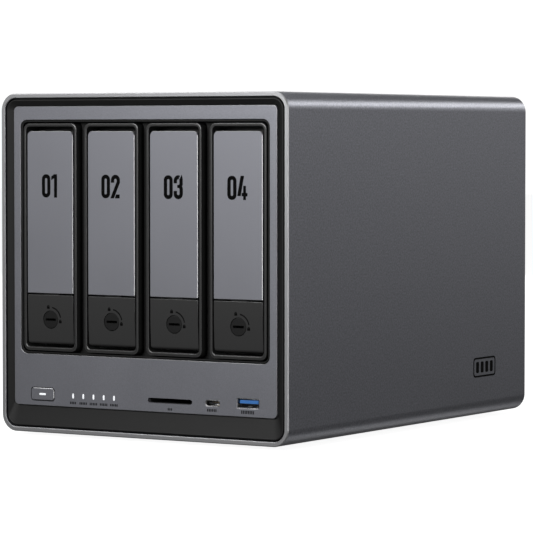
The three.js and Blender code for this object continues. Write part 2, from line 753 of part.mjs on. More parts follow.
piece("rear_panel", rearPanel(), materials.steel, casing);
piece("dust_filter", dustFilter(), materials.steel, casing);
piece("fan_frame", fanFrame(), materials.black, casing).position.set(0, FAN_FRONT, FAN_MIDDLE);
piece("fan_rotor", fanRotor(), materials.black, casing).position.set(0, FAN_FRONT, FAN_MIDDLE);
piece("power_inlet", powerInlet(ports.power_inlet), materials.black, casing);
const hdmiTongue = { width: 10.6, height: 1, setback: 1 };
const hdmi = rearSocket(ports.hdmi_port, 12, { hollow: 9, tongue: hdmiTongue });
piece("hdmi_port", hdmi, materials.silver, casing);
for (const name of ["rear_usb_port_1", "rear_usb_port_2", "rear_usb_port_3"]) {
  const tongue = { width: 11.2, height: 1.8, rise: 0.9, setback: 1.2 };
  const usb = rearSocket(ports[name], 14.5, { hollow: 12, tongue });
  piece(name, usb, materials.silver, casing);
}
piece("lan_port_1", lanPort(ports.lan_port_1), materials.silver, casing);
piece("lan_port_2", lanPort(ports.lan_port_2), materials.silver, casing);
piece("reset_button", resetButton(), materials.black, casing);

export default nas;
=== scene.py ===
"""The looks of a four-bay desktop network storage enclosure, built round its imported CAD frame.

Every piece is drawn in millimetres as (x, depth, height): x to the right of the case's middle, depth
behind the case's front edge, and height above its underside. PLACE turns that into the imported
frame, which is in metres.
"""

import math
import random

import bmesh
import bpy
from mathutils import Matrix, Vector


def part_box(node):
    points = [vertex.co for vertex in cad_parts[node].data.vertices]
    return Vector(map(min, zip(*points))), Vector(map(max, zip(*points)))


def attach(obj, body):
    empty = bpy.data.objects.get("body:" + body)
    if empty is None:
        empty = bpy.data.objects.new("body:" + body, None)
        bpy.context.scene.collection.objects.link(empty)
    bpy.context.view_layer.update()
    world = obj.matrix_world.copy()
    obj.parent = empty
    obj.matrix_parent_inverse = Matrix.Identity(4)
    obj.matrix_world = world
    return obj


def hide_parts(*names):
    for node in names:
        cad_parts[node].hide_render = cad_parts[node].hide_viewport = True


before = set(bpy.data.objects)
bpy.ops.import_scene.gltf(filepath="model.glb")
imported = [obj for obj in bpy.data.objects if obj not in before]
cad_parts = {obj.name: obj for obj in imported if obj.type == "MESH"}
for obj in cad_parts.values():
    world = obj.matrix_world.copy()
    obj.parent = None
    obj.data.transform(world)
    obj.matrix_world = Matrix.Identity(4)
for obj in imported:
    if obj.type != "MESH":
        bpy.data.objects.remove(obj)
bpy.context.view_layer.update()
random.seed(4)

MM = 0.001
SLEEVE_LOW, SLEEVE_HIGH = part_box("outer_sleeve")
PLACE = Matrix.Translation((0, SLEEVE_LOW.y, SLEEVE_LOW.z)) @ Matrix.Scale(MM, 4)

# ---------- driving dimensions, as in the CAD ----------

CASE = (SLEEVE_HIGH.x - SLEEVE_LOW.x) / MM
CASE_DEPTH = (SLEEVE_HIGH.y - SLEEVE_LOW.y) / MM
CASE_MIDDLE = CASE / 2
CASE_CORNER = 9
CASE_WALL = 2.4
FOOT_HEIGHT = SLEEVE_LOW.z / MM
RIM_CHAMFER = 0.5

BAYS = 4
BAY_PITCH = 38.9
BAY_MIDDLE = 102.7
TRAY_PLACES = [(i - (BAYS - 1) / 2) * BAY_PITCH for i in range(BAYS)]
OPENING = dict(width=154.5, height=122.8, radius=4, z=BAY_MIDDLE)
PLATE = dict(width=163.2, height=157.1, radius=2.6, z=92.7)
PLATE_FRONT = 1.2
PLATE_BACK = 3.3

HATCH = dict(width=120, length=100, depth=155)
HATCH_SCREWS = (110, 200)
FAN_SIZE = 140
FAN_DUCT = 68.5
FAN_FRONT = 226.4
FAN_MIDDLE = 104
PANEL_FRONT = 253.4
PANEL_BACK = 255.4

POWER_BUTTON = dict(x=-63.2, z=20.2, width=15.2, height=6.9, radius=1.7)
POWER_FRONT = 0.8
POWER_GAP = 0.2
POWER_LENS = dict(x=-63.2, z=20.2, width=4.3, height=1)
LIGHT = dict(z=20, width=1.1, height=2.6)
LIGHT_PLACES = [-43.8 + 6.5 * i for i in range(5)]
CARD_SLOT = dict(x=17.1, z=20.1, width=27.2, height=2.6)
USB_C = dict(x=43.2, z=20.2, width=8.8, height=3.1, radius=1.5)
USB_A = dict(x=64.4, z=21, width=13.1, height=5.1, radius=0.4)

# ---------- outlines in the X-Z plane ----------


def rounded(width, height, radius=None, x=0, z=0, bottom=None, steps=8):
    """A rounded rectangle, anticlockwise from the right end of its lower edge.

    Its lower corners can have a radius of their own. Without any radius it is a pill.
    """
    top = min(width, height) / 2 if radius is None else radius
    bottom = top if bottom is None else bottom
    right, high = width / 2, height / 2
    corners = [
        (right - bottom, bottom - high, bottom, 270),
        (right - top, high - top, top, 0),
        (top - right, high - top, top, 90),
        (bottom - right, bottom - high, bottom, 180),
    ]
    points = []
    for cx, cz, r, start in corners:
        for i in range(steps + 1):
            angle = math.radians(start + 90 * i / steps)
            points.append((x + cx + r * math.cos(angle), z + cz + r * math.sin(angle)))
    return points


def grown(shape, by, **changes):
    """The outline of a shape such as POWER_BUTTON, made larger by the same amount all round.

    Other keywords change the shape's own values.
    """
    radius = shape.get("radius", min(shape["width"], shape["height"]) / 2)
    sizes = dict(width=shape["width"] + 2 * by, height=shape["height"] + 2 * by)
    return rounded(**{**shape, **sizes, "radius": max(radius + by, 0.05), **changes})


def circle(radius, x=0, z=0, count=48):
    turns = [2 * math.pi * i / count for i in range(count)]
    return [(x + radius * math.cos(a), z + radius * math.sin(a)) for a in turns]


def rectangle(x0, x1, z0, z1):
    return [(x0, z0), (x1, z0), (x1, z1), (x0, z1)]


def arc(radius, start, end, x=0, z=0, steps=12):
    angles = [math.radians(start + (end - start) * i / steps) for i in range(steps + 1)]
    return [(x + radius * math.cos(a), z + radius * math.sin(a)) for a in angles]


def ribbon(points, width, start_cut=None, end_cut=None):
    """The outline of a stroke along a line. A cut is the direction of the stroke's end edge."""
    path = [Vector(p) for p in points]
    sides = []
    for i, point in enumerate(path):
        before = (point - path[i - 1]).normalized() if i else None
        after = (path[i + 1] - point).normalized() if i + 1 < len(path) else None
        along = ((before or after) + (after or before)).normalized()
        edge = Vector((-along.y, along.x))
        cut = start_cut if i == 0 else end_cut if after is None else None
        if cut:
            edge = Vector(cut).normalized() * (1 if Vector(cut).dot(edge) > 0 else -1)
        reach = width / 2 / abs(edge.cross(before or after))
        sides.append(edge * reach)
    left = [tuple(p + s) for p, s in zip(path, sides)]
    right = [tuple(p - s) for p, s in zip(path, sides)]
    return right + left[::-1]


# ---------- meshes ----------


def placed(name, data):
    """A new object in the scene that holds a mesh, curve, lamp or camera."""
    obj = bpy.data.objects.new(name, data)
    bpy.context.scene.collection.objects.link(obj)
    return obj


def add(name, mesh, *materials, bevel=0.0, smooth=32):
    """Puts a millimetre mesh into the scene, with soft edges and shading that keeps flats flat."""
    mesh.transform(PLACE)
    mesh.name = name
    for material in materials:
        mesh.materials.append(material)
    mesh.shade_smooth()
    mesh.set_sharp_from_angle(angle=math.radians(smooth))
    obj = placed(name, mesh)
    if bevel:
        soften(obj, bevel)
    weigh_normals(obj)
    return obj


def soften(obj, width):
    edge = obj.modifiers.new("soft edges", "BEVEL")
    edge.width = width * MM
    edge.segments = 2
    edge.limit_method = "ANGLE"
    edge.angle_limit = math.radians(40)


def weigh_normals(obj):
    """Shades flat faces flat right up to their soft edges."""
    normals = obj.modifiers.new("flat flats", "WEIGHTED_NORMAL")
    normals.weight = 80
    normals.keep_sharp = True


def closed(mesh):
    """The mesh with doubled points merged and its faces turned outwards."""
    work = bmesh.new()
    work.from_mesh(mesh)
    bmesh.ops.remove_doubles(work, verts=work.verts, dist=1e-4)
    bmesh.ops.recalc_face_normals(work, faces=work.faces)
    work.to_mesh(mesh)
    work.free()
    return mesh


PLANES = {  # how a drawn (across, up, towards the viewer) lies in (x, depth, height)
    "front": Matrix(((1, 0, 0, 0), (0, 0, -1, 0), (0, 1, 0, 0), (0, 0, 0, 1))),
    "side": Matrix(((0, 0, 1, 0), (1, 0, 0, 0), (0, 1, 0, 0), (0, 0, 0, 1))),
    "top": Matrix(((1, 0, 0, 0), (0, 1, 0, 0), (0, 0, 1, 0), (0, 0, 0, 1))),
}


def slab(outline, near, far, holes=(), edge=0.0, plane="front", steps=2):
    """A flat piece between two depths (or x places, or heights) with holes and rounded edges."""
    curve = bpy.data.curves.new("outline", "CURVE")
    curve.dimensions = "2D"
    curve.fill_mode = "BOTH"
    curve.extrude = abs(far - near) / 2 - edge
    curve.bevel_depth = edge
    curve.bevel_resolution = steps
    curve.offset = -edge
    for points in (outline, *holes):
        spline = curve.splines.new("POLY")
        spline.points.add(len(points) - 1)
        for target, point in zip(spline.points, points):
            target.co = (*point, 0, 1)
        spline.use_cyclic_u = True
    holder = placed("outline", curve)
    graph = bpy.context.evaluated_depsgraph_get()
    mesh = bpy.data.meshes.new_from_object(holder.evaluated_get(graph))
    bpy.data.objects.remove(holder)
    bpy.data.curves.remove(curve)
    middle = (near + far) / 2
    shift = -middle if plane == "front" else middle
    mesh.transform(PLANES[plane] @ Matrix.Translation((0, 0, shift)))
    return closed(mesh)


def loft(sections, ring=False):
    """A skin through sections with equal numbers of (x, depth, height) points.

    A ring joins the last section to the first; otherwise both ends are closed with a face.
    """
    count = len(sections[0])
    points = [p for section in sections for p in section]
    faces = []
    for s in range(len(sections) if ring else len(sections) - 1):
        here, there = s * count, (s + 1) % len(sections) * count
        for i in range(count):
            j = (i + 1) % count
            faces.append((here + i, here + j, there + j, there + i))
    if not ring:
        faces.append(tuple(range(count))[::-1])
        faces.append(tuple(range(len(points) - count, len(points))))
    mesh = bpy.data.meshes.new("loft")
    mesh.from_pydata(points, [], faces)
    return closed(mesh)


def at_depth(points, depth):
    """An outline's points as (x, depth, height)."""
    return [(x, depth, z) for x, z in points]


def block(x, depth, z):
    """A box between pairs of limits."""
    return slab(rectangle(*x, *z), *depth)


def turned(profile, steps=48, axis="Z"):
    """A solid of revolution from (radius, along) points that start and end on the axis."""
    work = bmesh.new()
    verts = [work.verts.new((r, 0, a)) for r, a in profile]
    edges = [work.edges.new(pair) for pair in zip(verts, verts[1:])]
    whole = dict(cent=(0, 0, 0), axis=(0, 0, 1), angle=2 * math.pi)
    bmesh.ops.spin(work, geom=verts + edges, steps=steps, **whole)
    mesh = bpy.data.meshes.new("turned")
    work.to_mesh(mesh)
    work.free()
    return closed(spun(mesh, -90, "X") if axis == "Y" else mesh)


def moved(mesh, x=0, depth=0, z=0):
    mesh.transform(Matrix.Translation((x, depth, z)))
    return mesh


def spun(mesh, degrees, axis):
    mesh.transform(Matrix.Rotation(math.radians(degrees), 4, axis))
    return mesh


def joined(*meshes):
    """Several meshes as one, each keeping its own material numbers."""
    work = bmesh.new()
    for mesh in meshes:
        work.from_mesh(mesh)
    mesh = bpy.data.meshes.new("joined")
    work.to_mesh(mesh)
    work.free()
    return mesh


def painted(mesh, number):
    """The mesh with all its faces given one material number."""
    for face in mesh.polygons:
        face.material_index = number
    return mesh


def combined(mesh, other, operation):
    """The exact union, difference or intersection of two meshes."""
    holders = [placed("part", m) for m in (mesh, other)]
    change = holders[0].modifiers.new("change", "BOOLEAN")
    change.operation = operation
    change.solver = "EXACT"
    change.object = holders[1]
    graph = bpy.context.evaluated_depsgraph_get()
    result = bpy.data.meshes.new_from_object(holders[0].evaluated_get(graph))
    for holder in holders:
        bpy.data.objects.remove(holder)
    return closed(result)


def cut(mesh, *cutters):
    for cutter in cutters:
        mesh = combined(mesh, cutter, "DIFFERENCE")
    return mesh


def bright_edges(mesh, number=1):
    """Gives the sloping faces along a front face's edges another material number, for a lighter edge
    material: a painted highlight.
    """
    for face in mesh.polygons:
        if 0.1 < abs(face.normal.y) < 0.99:
            face.material_index = number
    return mesh


# ---------- materials ----------


class Surface:
    """A node material with a principled shader, and short ways to add procedural detail to it."""

    def __init__(self, name, **values):
        self.material = bpy.data.materials.new(name)
        self.material.use_nodes = True
        self.nodes = self.material.node_tree.nodes
        self.links = self.material.node_tree.links
        self.shader = self.nodes["Principled BSDF"]
        self.place = self.nodes.new("ShaderNodeTexCoord").outputs["Object"]
        for socket, value in values.items():
            self.shader.inputs[socket].default_value = value

    def noise(self, size, detail=3, stretch=(1, 1, 1)):
        """Noise whose features are about `size` millimetres across, divided by the stretch."""
        mapping = self.nodes.new("ShaderNodeMapping")
        mapping.inputs["Scale"].default_value = stretch
        self.links.new(self.place, mapping.inputs["Vector"])
        noise = self.nodes.new("ShaderNodeTexNoise")
        noise.inputs["Scale"].default_value = 1 / (size * MM)
        noise.inputs["Detail"].default_value = detail
        self.links.new(mapping.outputs["Vector"], noise.inputs["Vector"])
        return noise.outputs["Fac"]

    def spread(self, value, low=0, high=1, start=0.3, end=0.7):
        """Maps the part of a texture's range from start to end on to low to high."""
        ramp = self.nodes.new("ShaderNodeMapRange")
        limits = {"From Min": start, "From Max": end, "To Min": low, "To Max": high}
        for socket, number in limits.items():
            ramp.inputs[socket].default_value = number
        self.links.new(value, ramp.inputs["Value"])
        return ramp.outputs["Result"]

    def colour(self, value, dark, light):
        """Colours the surface between two greys or colours, by a 0 to 1 value."""
        mix = self.nodes.new("ShaderNodeMix")
        mix.data_type = "RGBA"
        mix.inputs["A"].default_value = (*dark, 1)
        mix.inputs["B"].default_value = (*light, 1)
        self.links.new(value, mix.inputs["Factor"])
        self.links.new(mix.outputs["Result"], self.shader.inputs["Base Color"])

    def roughness(self, value, low, high):
        self.links.new(self.spread(value, low, high), self.shader.inputs["Roughness"])

    def bump(self, value, depth):
        """Raises the surface by up to `depth` millimetres."""
        bump = self.nodes.new("ShaderNodeBump")
        bump.inputs["Distance"].default_value = depth * MM
        self.links.new(value, bump.inputs["Height"])
        self.links.new(bump.outputs["Normal"], self.shader.inputs["Normal"])


def shaded(colour, share):
    return tuple(c * share for c in colour)


def grey(value, blue=0.0):
    """A grey with a blue tint, whose green grows an eighth as much as its blue."""
    return (value, value * (1 + blue / 8), value * (1 + blue))


def sandblasted(name, dark, light, roughness, metallic, grain=0.35, depth=0.012):
    """Anodised aluminium: a fine grain in the colour and height, and faint large clouds."""
    surface = Surface(name, Metallic=metallic)
    speckle = surface.noise(grain, detail=4)
    surface.colour(surface.spread(speckle), grey(dark, BLUISH), grey(light, BLUISH))
    surface.roughness(surface.noise(30, detail=2), *roughness)
    surface.bump(speckle, depth)
    return surface.material


def grained(name, dark, light, roughness, grain, depth, detail=3, stretch=(1, 1, 1), **values):
    """A surface whose colour, roughness and height all follow one noise pattern."""
    surface = Surface(name, **values)
    pattern = surface.noise(grain, detail, stretch)
    surface.colour(surface.spread(pattern), dark, light)
    surface.roughness(pattern, *roughness)
    surface.bump(pattern, depth)
    return surface.material


def cut_highlight_metal(name, value, roughness, metallic=1.0):
    """A diamond-cut edge: smooth, with a very fine grain, and lighter than the metal beside it,
    partly as a painted highlight.
    """
    dark, light = grey(value * 0.88, 0.03), grey(value, 0.03)
    return grained(name, dark, light, roughness, 0.12, 0.001, detail=2, Metallic=metallic)


def textured_plastic(name, value, roughness, gloss=0.4, depth=0.01):
    """A grey or black moulding with a fine sparked texture."""
    dark, light, shine = grey(value * 0.85), grey(value), {"Specular IOR Level": gloss}
    return grained(name, dark, light, roughness, 0.25, depth, **shine)


def powder_coat(name, value):
    """Painted sheet steel with a slight orange peel."""
    return grained(name, grey(value * 0.9), grey(value), (0.42, 0.55), 0.5, 0.02, detail=2)


def plated(name, colour, roughness=(0.2, 0.34)):
    """Nickel, gold or bare aluminium, with faint rolling marks."""
    marks = dict(detail=4, stretch=(1, 0.06, 1), Metallic=1.0)
    return grained(name, shaded(colour, 0.85), colour, roughness, 0.4, 0.002, **marks)


def solder_mask(name):
    """A circuit board's green lacquer over raised copper tracks."""
    surface = Surface(name, **{"Coat Weight": 0.4, "Coat Roughness": 0.15})
    blotches = surface.noise(1.6, detail=5)
    tracks = surface.spread(blotches, start=0.45, end=0.55)
    surface.colour(tracks, (0.006, 0.05, 0.022), (0.014, 0.09, 0.04))
    surface.roughness(blotches, 0.35, 0.5)
    surface.bump(tracks, 0.03)
    return surface.material


def rubber(name):
    return grained(name, grey(0.014), grey(0.022), (0.75, 0.9), 0.3, 0.02, detail=4)


def glowing(name, strength):
    """A frosted light pipe with a light behind it."""
    glow = {"Emission Color": (0.95, 0.98, 1, 1), "Emission Strength": strength}
    surface = Surface(name, Roughness=0.4, **glow)
    frost = surface.noise(0.4)
    surface.colour(surface.spread(frost), (0.75, 0.77, 0.8), (0.85, 0.86, 0.88))
    surface.bump(frost, 0.01)
    return surface.material


def print_ink(name, value):
    dark, light, shine = grey(value * 0.8), grey(value), {"Specular IOR Level": 0.03}
    return grained(name, dark, light, (0.5, 0.65), 0.2, 0.004, **shine)


def moulded(name, colour, roughness=(0.3, 0.42)):
    """A smooth coloured plastic."""
    return grained(name, shaded(colour, 0.88), colour, roughness, 0.8, 0.004)


BLUISH = 0.13  # the tint of the anodised metal

ANODISED = sandblasted("anodised aluminium", 0.18, 0.292, (0.36, 0.38), metallic=0.85, grain=0.9)
# Lighter than the anodised sleeve on the front rim and its chamfers: partly a cut edge, partly
# painted light where the rim faces the lamps.
RIM = cut_highlight_metal("cut rim with painted light", 0.4, (0.38, 0.46), metallic=0.76)
FRONT = sandblasted("front plate", 0.2, 0.262, (0.42, 0.46), metallic=0.7, depth=0.003)
HANDLE = sandblasted("handle face", 0.205, 0.257, (0.46, 0.5), metallic=0.6, depth=0.003)
# Lighter than the front and handle faces on their chamfers: partly a cut edge, partly a painted
# highlight.
FACE_EDGE = cut_highlight_metal("cut face edge with painted highlight", 0.38, (0.28, 0.36))
BLACK = textured_plastic("black plastic", 0.012, (0.45, 0.6))
BEZEL = textured_plastic("bezel plastic", 0.01, (0.45, 0.6), gloss=0.3)
SURROUND = textured_plastic("surround plastic", 0.006, (0.45, 0.6), gloss=0.25)
TRAY_BLACK = textured_plastic("tray plastic", 0.02, (0.35, 0.48), depth=0.006)
LATCH = textured_plastic("latch plastic", 0.0325, (0.45, 0.55), gloss=0.22, depth=0.006)
# Lighter and glossier than the tray and latch plastic on their sloping edges: a painted highlight.
EDGE_HIGHLIGHT_PLASTIC = textured_plastic("plastic edge with painted highlight", 0.045, (0.25, 0.35), gloss=1, depth=0.002)
DRUM = textured_plastic("lock drum", 0.009, (0.45, 0.55), gloss=0.2, depth=0.004)
STEEL = powder_coat("black steel", 0.02)
NICKEL = plated("nickel", (0.5, 0.5, 0.5))
BARE = plated("bare aluminium", (0.72, 0.72, 0.73), (0.3, 0.42))
GOLD = plated("gold contacts", (0.83, 0.6, 0.22))
BOARD = solder_mask("circuit board")
CHIP = moulded("chip", (0.012, 0.012, 0.013), (0.4, 0.5))
BLUE = moulded("blue plastic", (0.05, 0.2, 0.55))
RUBBER = rubber("rubber")
LIGHT_ON = glowing("lit light", 0.4)
LIGHT_OFF = moulded("unlit light", (0.25, 0.3, 0.12))
INK = print_ink("black print", 0.003)

# ---------- booking pieces in ----------


def book(obj, slot, *nodes, body="case"):
    """Ties a piece to its body, in place of the CAD nodes it replaces, which it hides; its slot is
    not used.
    """
    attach(obj, body)
    if nodes:
        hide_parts(*nodes)


def dress(node, material, bevel=0.2):
    """Keeps a CAD piece as it is, with soft edges and a real surface."""
    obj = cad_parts[node]
    obj.data.materials.clear()
    obj.data.materials.append(material)
    painted(obj.data, 0)
    soften(obj, bevel)


# ---------- case ----------


def sleeve():
    """The extruded tube, with a front rim of cut metal made lighter as painted light, and a window
    for the hatch underneath.
    """
    half = HATCH["width"] / 2
    window = [HATCH["depth"] - HATCH["length"] / 2, HATCH["depth"] + HATCH["length"] / 2]

    def section(inset, depth):
        size, radius = CASE - 2 * inset, CASE_CORNER - inset
        points = rounded(size, size, radius, z=CASE_MIDDLE, steps=12)
        return at_depth([(-half, inset), (half, inset)] + points, depth)

    steps = [(CASE_WALL, 0.3), (CASE_WALL - 0.3, 0), (RIM_CHAMFER, 0), (0, RIM_CHAMFER)]
    steps += [(0, window[0]), (0, window[1]), (0, CASE_DEPTH - 0.5), (0.5, CASE_DEPTH)]
    steps += [(CASE_WALL, CASE_DEPTH), (CASE_WALL, window[1]), (CASE_WALL, window[0])]
    sections = [section(*step) for step in steps]
    count = len(sections[0])
    points = [p for s in sections for p in s]
    faces, numbers = [], []
    for s in range(len(sections)):
        for i in range(count):
            if i == 0 and s in (4, 9):  # the open window, outside and inside
                continue
            here, there, j = s * count, (s + 1) % len(sections) * count, (i + 1) % count
            faces.append((here + i, here + j, there + j, there + i))
            numbers.append(1 if s <= 2 else 0)  # the rim comes first
    outer_near, outer_far, inner_far, inner_near = corners = [s * count for s in (4, 5, 9, 10)]
    for outside, inside in ((outer_near, inner_near), (outer_far, inner_far)):
        faces.append((outside, outside + 1, inside + 1, inside))
    faces += [tuple(corners), tuple(corner + 1 for corner in corners)]
    numbers += [0] * 4
    mesh = bpy.data.meshes.new("sleeve")
    mesh.from_pydata(points, [], faces)
    for face, number in zip(mesh.polygons, numbers):
        face.material_index = number
    obj = add("sleeve", closed(mesh), ANODISED, RIM, smooth=30)
    book(obj, "anodised_aluminium", "outer_sleeve")


def side_emblem():
    """A plain printed pictogram of four upright bars in a frame, low on the right side."""
    depth, height = 208, 27.5
    layer = dict(near=CASE_MIDDLE - 0.03, far=CASE_MIDDLE + 0.04, plane="side")
    inner_edge = rounded(24, 9, 1.4, depth, height)
    parts = [slab(rounded(26, 11, 2.2, depth, height), holes=[inner_edge], **layer)]
    for i in range(BAYS):
        bar = rounded(3.4, 6.2, 0.9, depth + (i - 1.5) * 5.4, height)
        parts.append(slab(bar, **layer))
    book(add("side_emblem", joined(*parts), INK), "black_plastic")


def hatch():
    """The slotted cover underneath, with two ribs and its two screws."""
    half, length, middle = HATCH["width"] / 2 - 0.3, HATCH["length"] / 2 - 0.3, HATCH["depth"]
    outline = rounded(2 * half, 2 * length, 2, z=middle, steps=4)
    pitch = 10
    slots = [rounded(80, 3, z=middle + row * pitch, steps=4) for row in range(-3, 4)]
    screw_holes = [circle(3.2, 0, depth) for depth in HATCH_SCREWS]
    cover = slab(outline, 0.3, 2.2, holes=slots + screw_holes, edge=0.3, plane="top")
    ribs = [
        slab(rounded(96, 1.2, z=middle + row * pitch, steps=3), 2.0, 3.0, plane="top")
        for row in (-3.5, 3.5)
    ]
    book(add("hatch", joined(cover, *ribs), STEEL), "black_steel", "bottom_hatch")
    for i, depth in enumerate(HATCH_SCREWS):
        head = [(0, 0.3), (2.4, 0.3), (2.85, 0.7), (2.9, 1.4), (1.4, 1.5), (1.4, 5.6), (0, 6)]
        screw = moved(cut(turned(head, 32), *cross_slot(2, 0.4, -1, 0.9)), depth=depth)
        obj = add(f"hatch_screw_{i + 1}_look", screw, NICKEL, bevel=0.08)
        book(obj, "nickel_steel", f"hatch_screw_{i + 1}")


def feet():
    """Round pads with a raised outer ring and a dished middle."""
    sole, radius, dish = -FOOT_HEIGHT, 10, 5.5
    profile = [(0, sole + 0.5), (dish, sole + 0.5), (dish + 0.5, sole), (radius - 0.6, sole)]
    profile += [(radius, sole + 0.5), (radius, -0.4), (radius - 0.3, -0.1), (0, -0.1)]
    for name in ("front_left", "front_right", "rear_left", "rear_right"):
        low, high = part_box(f"foot_{name}")
        x, depth = (low.x + high.x) / 2 / MM, ((low.y + high.y) / 2 - SLEEVE_LOW.y) / MM
        obj = add(f"pad_{name}", moved(turned(profile, 48), x, depth), RUBBER, smooth=25)
        book(obj, "foot_rubber", f"foot_{name}")


# ---------- front ----------


def bezel():
    """The black frame between the sleeve and the face plate: a fine groove, a lip and a slope."""
    size = CASE - 2 * CASE_WALL - 0.4
    radius = CASE_CORNER - CASE_WALL - 0.2

    def square(inset, depth):
        corner = max(radius - inset, 1)
        side = size - 2 * inset
        return at_depth(rounded(side, side, corner, z=CASE_MIDDLE), depth)

    def near_plate(outset, depth):
        return at_depth(grown(PLATE, outset), depth)

    lip = [(0, 2.6), (0.6, 2.6), (0.6, 0.8), (0.8, 0.5), (1.2, 0.45), (1.5, 0.6)]
    seat = [(0.15, 2.4), (0.15, 3.5), (-2, 3.5), (-2, 5.4)]
    sections = [square(*step) for step in lip] + [near_plate(*step) for step in seat]
    sections += [square(2, 5.4), square(2, 16), square(0, 16)]
    obj = add("bezel", loft(sections, ring=True), BEZEL, smooth=25)
    book(obj, "black_plastic", "front_bezel")


def face_plate():
    """The grey front plate. Its bay and USB openings have soft edges, the others are square."""
    holes = [rounded(**OPENING), grown(USB_C, 0), grown(USB_A, 0)]
    mesh = slab(rounded(**PLATE), PLATE_FRONT, PLATE_BACK, holes=holes, edge=0.22)
    square_holes = [grown(dict(LIGHT, x=x), 0.08) for x in LIGHT_PLACES]
    square_holes += [grown(POWER_BUTTON, POWER_GAP), grown(CARD_SLOT, 0)]
    cutters = [slab(outline, 0, 5) for outline in square_holes]
    # The sloping edges get the lighter cut-edge metal, a painted highlight.
    obj = add("plate", cut(bright_edges(mesh), *cutters), FRONT, FACE_EDGE)
    book(obj, "front_metal", "face_plate")


def surround():
    """The thin lip round the bays, and the frame behind it with bars between the trays."""
    gap, wall, flange, bar = 0.2, 0.95, 2.8, 4
    lip = slab(grown(OPENING, -gap), 1.55, 13.8, holes=[grown(OPENING, -gap - wall)], edge=0.2)
    windows = [rounded(BAY_PITCH - bar, 120.2, 3, x, BAY_MIDDLE) for x in TRAY_PLACES]
    frame_behind = slab(grown(OPENING, flange), 5.8, 7.3, holes=windows, edge=0.3)
    book(add("surround", joined(lip, frame_behind), SURROUND), "black_plastic", "bay_surround")


def power_key():
    """The power button, with a plain chamfer and a lit dash."""
    cap = slab(grown(POWER_BUTTON, -POWER_GAP), POWER_FRONT, 5.4, edge=0.35, steps=0)
    hole = slab(grown(POWER_LENS, 0.08), 0, 6)
    # The cap's chamfer gets the lighter cut-edge metal, a painted highlight.
    obj = add("power_cap", cut(bright_edges(cap), hole), FRONT, FACE_EDGE)
    book(obj, "front_metal", "power_button", body="power_key")
    lens = slab(rounded(**POWER_LENS), POWER_FRONT + 0.02, 4, edge=0.1)
    obj = add("power_lens", lens, LIGHT_ON)
    book(obj, "light_plastic", "power_button_lens", body="power_key")


def light_comb():
    """A bar of clear plastic behind the plate, with a prong for each light."""
    prongs = [
        slab(grown(dict(LIGHT, x=x), 0), PLATE_FRONT + 0.02, 10, edge=0.1)
        for x in LIGHT_PLACES
    ]
    low, high = LIGHT["z"] - 1.5, LIGHT["z"] + 1.5
    bar = block((LIGHT_PLACES[0] - 1.2, LIGHT_PLACES[-1] + 1.2), (9.8, 13), (low, high))
    book(add("lights", joined(bar, *prongs), LIGHT_ON), "light_plastic", "status_light_guide")


def shell(shape, mouth, end, wall, hollow):
    """A plug socket's shell, hollow from its mouth and solid from there to its end.

    The hollow is negative where the mouth faces backwards.
    """
    floor = mouth + hollow
    overlap = math.copysign(0.1, hollow)
    tube = slab(grown(shape, 0), mouth, floor, holes=[grown(shape, -wall)], edge=wall * 0.4)
    base = slab(grown(shape, 0), floor - overlap, end)
    return joined(tube, base)


def usb_c_socket():
    body = shell(USB_C, 1.5, 9.5, 0.3, 5.8)
    x, z = USB_C["x"], USB_C["z"]
    tongue = slab(rounded(6.7, 0.75, 0.3, x, z), 3.4, 8)
    contacts = [
        block((x + 0.5 * i - 0.14, x + 0.5 * i + 0.14), (3.8, 6.5), (z - 0.42, z + 0.42))
        for i in range(-5, 6)
    ]
    mesh = joined(body, painted(tongue, 1), *(painted(c, 2) for c in contacts))
    book(add("usb_c_look", mesh, NICKEL, CHIP, GOLD), "nickel_steel", "usb_c_port")


def usb_a_socket():
    x, z = USB_A["x"], USB_A["z"]
    body = shell(USB_A, 1.55, 16, 0.35, 11.3)
    springs = [slab(rounded(2.2, 0.4, 0.2, x + dx, z - 2), 8, 11) for dx in (-2.8, 2.8)]
    book(add("usb_a_look", joined(body, *springs), NICKEL), "nickel_steel", "usb_a_port")

    blade_height, blade_z = 1.8, z + 0.75
    blade = slab(rounded(11.2, blade_height, 0.25, x, blade_z), 2.4, 13.2, edge=0.15)
    under = blade_z - blade_height / 2
    pads = [
        block((x + i * 2.3 - 0.5, x + i * 2.3 + 0.5), (3.4, 9), (under - 0.09, under))
        for i in (-1.5, -0.5, 0.5, 1.5)
    ]
    mesh = joined(blade, *(painted(p, 1) for p in pads))
    book(add("usb_a_tongue_look", mesh, BLUE, GOLD), "blue_plastic", "usb_a_tongue")


def card_reader():
    reader = dict(CARD_SLOT, width=28.4, height=3.4, radius=0.3)
    body = shell(reader, 3.7, 34, 0.5, 26)
    book(add("reader_look", body, STEEL), "nickel_steel", "sd_card_reader")


INK_LAYER = (-0.015, 0.05)


def printed(name, body, *outlines, front=PLATE_FRONT, rings=()):
    """A thin layer of ink on a front face, as plain outlines and (outline, hole) rings.

    The depth of the face is a number, or a function of the height.
    """
    layers = [slab(outline, *INK_LAYER) for outline in outlines]
    layers += [slab(outline, *INK_LAYER, holes=[hole]) for outline, hole in rings]
    mesh = joined(*layers)
    for vertex in mesh.vertices:
        vertex.co.y += front(vertex.co.z) if callable(front) else front
    book(add(name, mesh, INK), "black_plastic", body=body)


def ticks(x, z, count, height=1.3):
    """A short row of upright strokes, 1 mm apart."""
    places = [x + i - (count - 1) / 2 for i in range(count)]
    return [rounded(0.62, height, 0.15, place, z, steps=2) for place in places]


